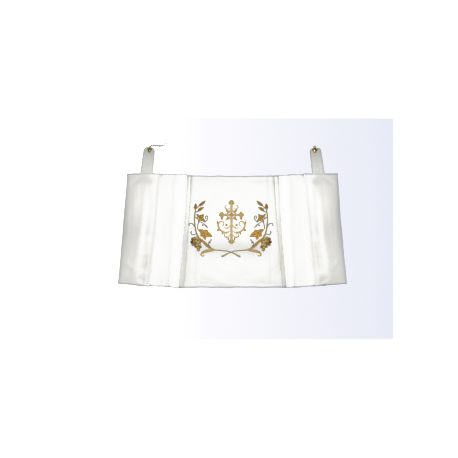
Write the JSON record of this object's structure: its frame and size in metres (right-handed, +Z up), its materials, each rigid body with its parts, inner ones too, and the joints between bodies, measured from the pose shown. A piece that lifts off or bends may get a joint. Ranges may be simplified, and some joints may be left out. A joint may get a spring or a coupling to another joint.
{
  "type": "humeral veil",
  "caption": "Ivory satin shoulder vestment with gold vine embroidery, laid face up with its ends in knife pleats, with sewn tabs and a chain, hook and eye clasp.",
  "frame": {"origin": "middle of the flat embroidered panel, on the underside that rests on the surface", "axes": "+X along the veil's length, +Y towards the neck hem and the tabs, +Z up from the surface"},
  "size_m": [1.1308, 0.7171, 0.0199],
  "materials": {
    "veil_satin": "soft satin weave",
    "tab_cloth": "matt twill",
    "clasp_brass": "worn polish",
    "gold_thread": "satin stitch"
  },
  "bodies": {
    "root": {"veil": "veil_satin", "tab_left": "tab_cloth", "tab_right": "tab_cloth", "clasp_plate_left": "clasp_brass", "clasp_plate_right": "clasp_brass", "chain_link_1": "clasp_brass", "chain_link_2": "clasp_brass", "chain_link_3": "clasp_brass", "chain_link_4": "clasp_brass", "chain_link_5": "clasp_brass", "chain_link_6": "clasp_brass", "chain_link_7": "clasp_brass", "clasp_hook": "clasp_brass"}
  },
  "joints": []
}
